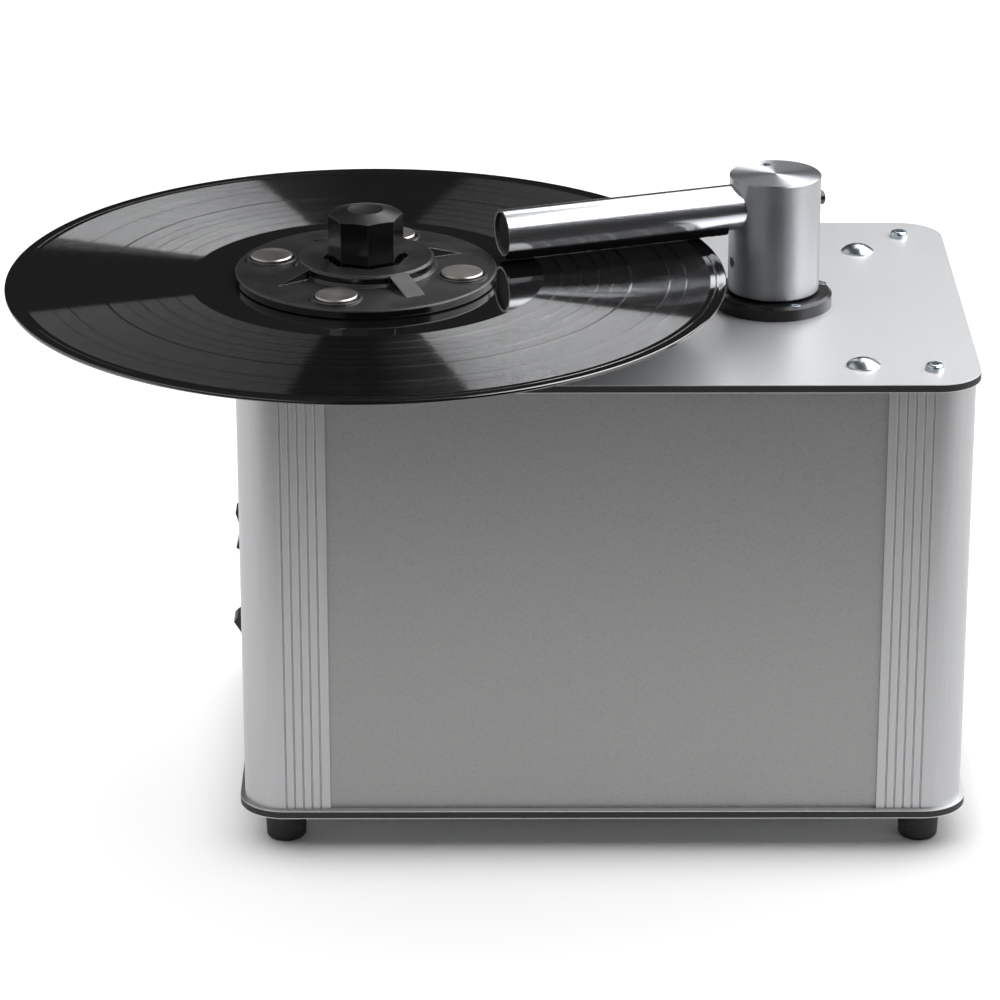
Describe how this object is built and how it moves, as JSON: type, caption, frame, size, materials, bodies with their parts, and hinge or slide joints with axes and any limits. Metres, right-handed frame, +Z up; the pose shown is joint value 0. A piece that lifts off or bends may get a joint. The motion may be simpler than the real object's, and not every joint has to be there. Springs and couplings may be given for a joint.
{
  "type": "record cleaning machine",
  "caption": "Vacuum record cleaning machine: box housing on feet, driven platter with a clamped disc, octagonal clamp knob and a swinging suction arm with velvet strips.",
  "frame": {"origin": "bottom centre of the overall box, on the surface that the feet stand on", "axes": "+X to the right along the housing's width, towards the suction arm; +Y to the back panel; +Z up along the spindle"},
  "size_m": [0.4073, 0.3406, 0.2773],
  "materials": {
    "composite_plate": "silver composite sheet with a black core",
    "anodised_profile": "silver anodised extrusion",
    "brushed_panel": "fine-grained grey anodised sheet",
    "black_rubber": "matt black rubber",
    "zinc_steel": "bright zinc plate",
    "plain_steel": "plain steel",
    "turned_aluminium": "lathe-turned aluminium",
    "polished_aluminium": "polished aluminium tube",
    "black_plastic": "satin black moulding",
    "clamp_plastic": "satin dark grey moulding",
    "vinyl": "grooved black vinyl",
    "velvet": "black velvet",
    "brass": "plain brass",
    "tank_plastic": "milky plastic",
    "circuit": "green circuit board"
  },
  "bodies": {
    "machine": {"arm_flange": "black_plastic", "arm_flange_screws": "zinc_steel", "arm_hose": "black_rubber", "arm_pillar": "turned_aluminium", "arm_spring": "plain_steel", "back_panel": "brushed_panel", "bearing_housing": "turned_aluminium", "bearing_screws": "zinc_steel", "bottom_plate": "composite_plate", "corner_profile_back_left": "anodised_profile", "corner_profile_back_right": "anodised_profile", "corner_profile_front_left": "anodised_profile", "corner_profile_front_right": "anodised_profile", "corner_screws": "zinc_steel", "dome_bolt_nuts": "zinc_steel", "dome_bolts": "zinc_steel", "drain_spout": "black_plastic", "fan_housing": "black_plastic", "foot_back_left": "black_rubber", "foot_back_right": "black_rubber", "foot_front_left": "black_rubber", "foot_front_right": "black_rubber", "foot_screws": "zinc_steel", "front_panel": "brushed_panel", "gear_motor": "plain_steel", "inlet_pins": "brass", "inlet_screws": "zinc_steel", "left_panel": "brushed_panel", "mains_inlet": "black_plastic", "motor_mounts": "black_rubber", "motor_standoffs": "plain_steel", "pillar_nut": "plain_steel", "power_board": "circuit", "right_panel": "brushed_panel", "spin_switch": "black_plastic", "suction_hose": "black_rubber", "tank_bracket": "plain_steel", "tank_lid": "tank_plastic", "top_plate": "composite_plate", "vacuum_motor": "turned_aluminium", "vacuum_switch": "black_plastic", "waste_tank": "tank_plastic"},
    "platter": {"spindle": "plain_steel", "platter": "turned_aluminium", "platter_mat": "black_rubber", "record": "vinyl"},
    "clamp": {"clamp_body": "clamp_plastic", "clamp_discs": "plain_steel", "clamp_seal": "black_rubber"},
    "knob": {"clamp_knob": "black_plastic", "knob_insert": "brass"},
    "arm_carriage": {"arm_sleeve": "brass"},
    "arm": {"arm_post": "turned_aluminium", "arm_screws": "plain_steel", "suction_tube": "polished_aluminium", "tube_plug": "black_plastic", "velvet_strips": "velvet"},
    "spin_rocker": {"spin_rocker": "black_plastic"},
    "vacuum_rocker": {"vacuum_rocker": "black_plastic"},
    "drain_cap": {"drain_cap": "black_rubber"}
  },
  "joints": [
    {"name": "platter_spin", "type": "hinge", "parent": "machine", "child": "platter", "pos_m": [-0.05287, -0.01953, 0.24765], "axis": [0, 0, 1], "continuous": true},
    {"name": "clamp_lift", "type": "slide", "parent": "platter", "child": "clamp", "axis": [0, 0, 1], "range_m": [0, 0.022]},
    {"name": "knob_turn", "type": "hinge", "parent": "clamp", "child": "knob", "pos_m": [-0.05287, -0.01953, 0.24765], "axis": [0, 0, 1], "continuous": true},
    {"name": "arm_lift", "type": "slide", "parent": "machine", "child": "arm_carriage", "axis": [0, 0, 1], "range_m": [0, 0.008]},
    {"name": "arm_swing", "type": "hinge", "parent": "arm_carriage", "child": "arm", "pos_m": [0.12157, 0.04238, 0.2213], "axis": [0, 0, 1], "range_deg": [-110, 65]},
    {"name": "spin_rocker_tilt", "type": "hinge", "parent": "machine", "child": "spin_rocker", "pos_m": [-0.10502, 0.00143, 0.12675], "axis": [0, 1, 0], "range_deg": [-15, 15]},
    {"name": "vacuum_rocker_tilt", "type": "hinge", "parent": "machine", "child": "vacuum_rocker", "pos_m": [-0.10502, 0.00143, 0.07775], "axis": [0, 1, 0], "range_deg": [0, 30]},
    {"name": "drain_cap_pull", "type": "slide", "parent": "machine", "child": "drain_cap", "axis": [0, 1, 0], "range_m": [0, 0.018]}
  ]
}
